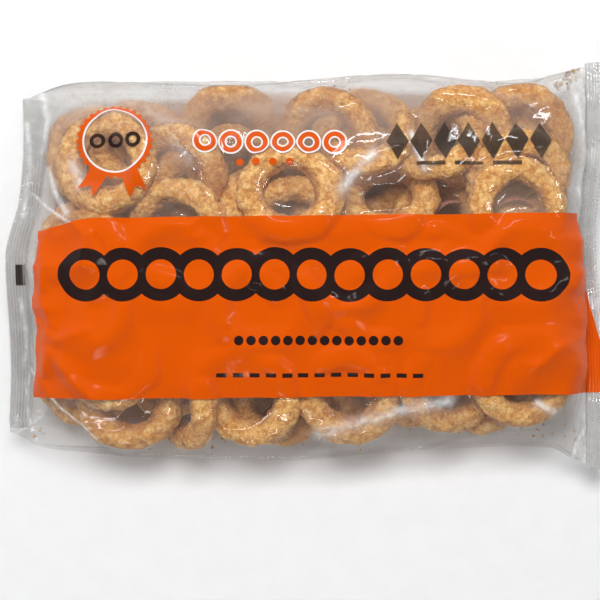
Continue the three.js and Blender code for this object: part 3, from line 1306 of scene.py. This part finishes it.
def film_finish():
    finish = Finish("printed clear film")
    along, across, _ = finish.parts(finish.attribute("printed_at", "Vector"))
    top = finish.attribute("top") > 0.5
    gap = finish.attribute("gap")
    food = finish.attribute("food")
    crease = finish.attribute("crease")
    milky = finish.attribute("milky")
    cloud = finish.clouds(17, 5, 0.6).ramp(0.33, 0.67)
    streaks = finish.clouds(210, 3, 0.6).ramp(0.35, 0.65)
    gap_shade_mottle = finish.clouds(60, 5, 0.7).ramp(0.3, 0.7)

    # The print. Each row has the columns of its ends, its row, how many shapes, and their half sizes.
    band = band_mask(along, across) * top
    title = ring_row(along, across, (86, 538), 275, 13, 16.2 * mm, 9.0 * mm)
    dots = ring_row(along, across, (239, 398), 341, 14, 2.9 * mm, 0.0)
    dashes = bar_row(along, across, (222, 418), 376, 13, 3.1 * mm, 1.3 * mm)
    badge, badge_line = rosette(along, across)
    badge_rings = ring_row(along, across, (97, 133), badge_row, 3, 4.6 * mm, 2.4 * mm)
    small_rings = ring_row(along, across, (205, 335), 140, 6, 6.6 * mm, 3.6 * mm)
    small_lines = ring_row(along, across, (205, 335), 140, 6, 7.6 * mm, 2.7 * mm)
    small_dots = ring_row(along, across, (240, 290), 161, 4, 2.2 * mm, 0.0)
    diamonds = diamond_row(along, across, (397, 540), 139, 7, 6.8 * mm, 11.5 * mm)
    under_line = bar_row(along, across, (430, 506), 162, 3, 8.6 * mm, 1.1 * mm)

    black = (title + dots + dashes).smaller(1.0) * top
    orange_ink = (badge + small_rings + small_dots).smaller(1.0) * top
    white_ink = (badge_line + small_lines).smaller(1.0) * top
    dark_ink = (diamonds + under_line).smaller(1.0) * top
    badge_black = badge_rings * top

    # Haze grows with the gap to the food, towards the far edge and at the right end, where the whiter film
    # is milky and also painted for its glints
    far_milk = across.ramp(52 * mm, 100 * mm)
    near_clear = across.ramp(-110 * mm, 10 * mm, 0.35, 1.0)
    right_milk = along.ramp(158 * mm, 180 * mm)
    haze = gap.ramp(0.04, 0.5) * (0.08 + 0.24 * cloud + 0.17 * far_milk) * near_clear + 0.015 + crease * 0.12
    # The white lines add cover: painted glints and glare, frost and whitened folds
    haze = haze + milky * (0.25 + 0.40 * streaks) + right_milk * (0.14 + 0.22 * cloud)
    # Painted shade: a dark brown coat, tinted like crumb dust, on the lower face between the rings, so no
    # bright floor shows there
    inner = abs(across).ramp(92 * mm, 106 * mm, 1.0, 0.0)
    painted_gap_shade = food.ramp(0.5, 1.0) * gap.ramp(0.03, 0.25) * inner * (1 - top) * (0.86 + 0.14 * gap_shade_mottle)
    cover = haze.larger(painted_gap_shade).larger(band).larger(orange_ink * 0.95).larger(white_ink * 0.85)
    cover = cover.larger(dark_ink * 0.86).larger(badge_black * 0.93)

    # Colours from the first to the last coat. Over the food the haze is painted brown and darker, for the
    # brown light that the rings below throw into it.
    coats = [
        # Painted shade: the milk turns darker grey towards the near side
        (across.ramp(-116 * mm, -60 * mm, 1.0, 0.0), near_wall_painted_shade_milk),
        # Painted brown light in the milk over the food
        (food.ramp(0.3, 0.9) * gap.ramp(0.02, 0.35) * 0.85, painted_brown_light_in_milk),
        # Painted shade between the rings
        (painted_gap_shade.ramp(0.1, 0.5), painted_gap_shade_colour),
        # Painted glints, frost and whitened film in white, with the whiter right end
        (milky.ramp(0.15, 0.7).larger(right_milk), white_of_glints_and_frost),
        (white_ink, white_ink_colour),
        (band.larger(orange_ink), orange_ink_colour),
        (dark_ink, dark_ink_colour),
        ((band * black).larger(badge_black), black_ink_colour),
    ]
    colour = bright_milk
    for share, coat in coats:
        colour = finish.blend(share, colour, coat)
    normal = finish.bump(finish.clouds(38, 5, 0.5, 1.4), 0.25, 2 * mm)
    grazing = finish.node("ShaderNodeLayerWeight", {}, {"Blend": 0.5}, output="Facing")
    shine = grazing**4 * (0.45 - band * 0.25) + 0.055 - band * 0.045
    return finish.done_film(colour, cover, normal, 0.09, shine)


film.data.materials.append(film_finish())
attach(film, body)
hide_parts("bag")

# %% [markdown]
# ## Crimped seals
# Each end is welded between ribbed jaws and cut with a toothed knife, so the strip is milky, ribbed along
# its length and zigzag at its edge. The film's grid is too coarse for ribs of under two millimetres. A
# strip of its own, a fine grid given thickness, lies round the flat end of the film. The band is printed
# over the right seal, and the left one has the black block that a packing machine reads.

# %% Seal finish
milky_weld = (0.78, 0.77, 0.75)
mark_colour = (0.030, 0.022, 0.018)
mark_place = under_pixel(21, 275, 14 * mm)
mark_half_wide = 3.0 * mm
mark_half_high = 6.4 * mm


def seal_finish():
    finish = Finish("welded film")
    along, across, _ = finish.parts(finish.place())
    upper = finish.attribute("upper")
    cloud = finish.clouds(70, 4, 0.6).ramp(0.3, 0.7)
    in_block = (abs(along - mark_place.x) < mark_half_wide) * (abs(across - mark_place.y) < mark_half_high)
    mark = in_block * upper
    band = band_mask(along, across) * (along > 0.0) * upper
    colour = finish.blend(band, milky_weld, orange_ink_colour)
    colour = finish.blend(mark, colour, mark_colour)
    cover = (0.10 + 0.16 * cloud + along.ramp(0.1, 0.17) * 0.16).larger(band).larger(mark)
    normal = finish.bump(finish.clouds(90, 4, 0.5, 1.0), 0.3, 1 * mm)
    return finish.done_film(colour, cover, normal, 0.12, 0.09 - band * 0.08)


seal_film = seal_finish()

# %% Seal strips
strip_rows = 300
strip_ranks = 32
strip_inset = 1.2 * mm
strip_thick = 1.9 * mm
rib_pitch = 1.9 * mm
rib_height = 0.28 * mm
tooth_pitch = 2.6 * mm
tooth_depth = 0.9 * mm
seal_height = 15 * mm


def seal_middle(x, y):
    """Halfway between the solid's two faces at a place on a seal."""
    above = height_of(x, y, True)
    below = height_of(x, y, False)
    if above is None or below is None:
        return pack_walls.find_nearest(Vector((x, y, seal_height)))[0].z
    return (above.z + below.z) / 2


def seal_strip(name, cut, width, inward, near_end, far_end):
    """A ribbed strip from the cut edge inwards. Inward is 1 at the left end and -1 at the right one."""
    bm = bmesh.new()
    bmesh.ops.create_grid(bm, x_segments=strip_ranks, y_segments=strip_rows, size=1)
    bm.verts.ensure_lookup_table()
    for row in range(strip_rows + 1):
        y = near_end + (far_end - near_end) * row / strip_rows
        edge = float(np.interp(y, cut_places, cut)) + 1.5 * inset * inward
        tooth = abs((y / tooth_pitch) % 1 - 0.5) * 2 * tooth_depth
        for rank in range(strip_ranks + 1):
            share = rank / strip_ranks
            x = edge + inward * (share * width + tooth * (1 - share) ** 6)
            rib = rib_height * math.sin(2 * math.pi * share * width / rib_pitch)
            bm.verts[row * (strip_ranks + 1) + rank].co = (x, y, seal_middle(x, y) + rib)
    bmesh.ops.recalc_face_normals(bm, faces=bm.faces)
    bmesh.ops.solidify(bm, geom=bm.faces[:], thickness=strip_thick)
    bmesh.ops.translate(bm, vec=(0, 0, strip_thick / 2), verts=bm.verts)
    bmesh.ops.recalc_face_normals(bm, faces=bm.faces)
    upper = bm.verts.layers.float.new("upper")
    for vert in bm.verts:
        vert.normal_update()
        vert[upper] = float(vert.normal.z > 0)
        vert.co.x = min(max(vert.co.x, low_corner.x), high_corner.x)
    piece = add_mesh(name, mesh_from(bm, name), seal_film)
    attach(piece, body)
    return piece


left_strip = seal_strip(
    "left_seal", left_cut, left_seal, 1, left_near_corner + strip_inset, left_far_corner - strip_inset
)
right_strip = seal_strip(
    "right_seal", right_cut, right_seal, -1, -right_corner + strip_inset, right_corner - strip_inset
)
print("faces of the seal strips:", len(left_strip.data.polygons), len(right_strip.data.polygons))

# %% [markdown]
# ## Crumbs and frost
# Crumbs that came loose lie in the corners of the bag, and ice grains sit on the coating under the film.
# Particles would be quick to set up, but they aren't part of a mesh, so small lumps of a few faces are
# placed by a seeded draw: crumbs on the lower film, grains on the upper side of rings that show.

# %% Loose crumbs
# middle column and row, half width and half height in pixels, and how many
crumb_fields = [
    (572, 74, 8, 7, 60),
    (562, 84, 8, 5, 26),
    (556, 92, 10, 4, 10),
    (370, 86, 120, 6, 22),
    (60, 105, 30, 12, 8),
    (35, 240, 14, 40, 8),
    (34, 430, 12, 6, 7),
    (300, 440, 220, 10, 46),
    (548, 432, 30, 8, 14),
    (300, 300, 250, 110, 60),
]
crumb_radius = 0.95 * mm
crumb_rest = 1.1 * mm
crumb_level = 12 * mm
room_for_crumb = 3.2 * mm
lowest = 0.1 * mm
any_turn = 6.28
loose_shades = ((0.42, 0.20, 0.075), (0.80, 0.56, 0.28))


def lump(radius):
    bm = bmesh.new()
    bmesh.ops.create_icosphere(bm, subdivisions=1, radius=radius)
    for vert in bm.verts:
        vert.co *= draw.uniform(0.72, 1.22)
    stretch = Matrix.Diagonal((draw.uniform(0.8, 1.5), 1, draw.uniform(0.6, 0.9)))
    bmesh.ops.transform(bm, matrix=stretch, verts=bm.verts)
    return mesh_from(bm, "lump")


def scattered(name, kinds, spots, sizes, material):
    bm = bmesh.new()
    for number, (spot, size) in enumerate(zip(spots, sizes)):
        before = len(bm.verts)
        bm.from_mesh(kinds[number % len(kinds)])
        bm.verts.ensure_lookup_table()
        turn = Matrix.Rotation(draw.uniform(0, any_turn), 4, "Z")
        turn = turn @ Matrix.Rotation(draw.uniform(0, any_turn), 4, "X")
        place = Matrix.Translation(spot) @ turn @ Matrix.Scale(size, 4)
        bmesh.ops.transform(bm, matrix=place, verts=bm.verts[before:])
    for vert in bm.verts:
        vert.co.z = max(vert.co.z, lowest)
    piece = add_mesh(name, mesh_from(bm, name), material)
    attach(piece, body)


spots = []
sizes = []
for column, row, half_wide, half_high, count in crumb_fields:
    for _ in range(count):
        at_column = column + half_wide * draw.uniform(-1, 1)
        at_row = row + half_high * draw.uniform(-1, 1)
        x, y, _ = under_pixel(at_column, at_row, crumb_level)
        size = draw.uniform(0.45, 1.35)
        ground = height_of(x, y, False)
        cover = height_of(x, y, True)
        if ground is not None and cover.z - ground.z > room_for_crumb:
            spots.append(Vector((x, y, ground.z + crumb_rest * size)))
            sizes.append(size)
crumb_lumps = [lump(crumb_radius) for _ in range(7)]
loose = mottled_finish("loose crumb", (260, 2), loose_shades, {"Roughness": 0.75}, (1500, 0.5, 0.3 * mm))
scattered("loose_crumbs", crumb_lumps, spots, sizes, loose)
print("loose crumbs:", len(spots))

# %% Frost
grains_per_piece = 900
grain_radius = 0.24 * mm
grain_rest = 0.12 * mm
ice_shades = ((0.86, 0.87, 0.88), (0.94, 0.95, 0.96))
frost_spots = []
for piece in ring_pieces[:-1]:
    vertices = piece.data.vertices
    for number in draw.integers(0, len(vertices), grains_per_piece):
        vertex = vertices[int(number)]
        if vertex.normal.z > 0.45:
            frost_spots.append(vertex.co + vertex.normal * grain_rest)
frost_sizes = list(draw.uniform(0.5, 1.6, len(frost_spots)))
frost_lumps = [lump(grain_radius) for _ in range(4)]
ice = mottled_finish("ice grains", (300, 2), ice_shades, {"Roughness": 0.3, "Specular IOR Level": 0.7})
scattered("frost", frost_lumps, frost_spots, frost_sizes, ice)
print("frost grains:", len(frost_spots))

# %% [markdown]
# The film is one sheet, joined along the back by a flat lap that runs from seal to seal.

# %% Back lap
lap_half_long = 165 * mm
lap_half_wide = 6 * mm
lap_thick = 0.2 * mm
lap_offset = 3 * mm
lap_lift = 0.45 * mm
lap_wave = 0.10 * mm
lap_wavelength = 7 * mm


def back_lap():
    bm = bmesh.new()
    bmesh.ops.create_grid(bm, x_segments=160, y_segments=8, size=1)
    for vert in bm.verts:
        x = vert.co.x * lap_half_long
        y = vert.co.y * lap_half_wide + lap_offset
        ground = height_of(x, y, False)
        lift = ground.z if ground is not None else 0
        wave = lap_wave * math.sin(x / lap_wavelength) * abs(vert.co.y)
        vert.co = (x, y, lift + lap_lift + wave)
    bmesh.ops.solidify(bm, geom=bm.faces[:], thickness=lap_thick)
    bmesh.ops.recalc_face_normals(bm, faces=bm.faces)
    piece = add_mesh("back_lap", mesh_from(bm, "back_lap"), seal_film)
    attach(piece, body)


back_lap()
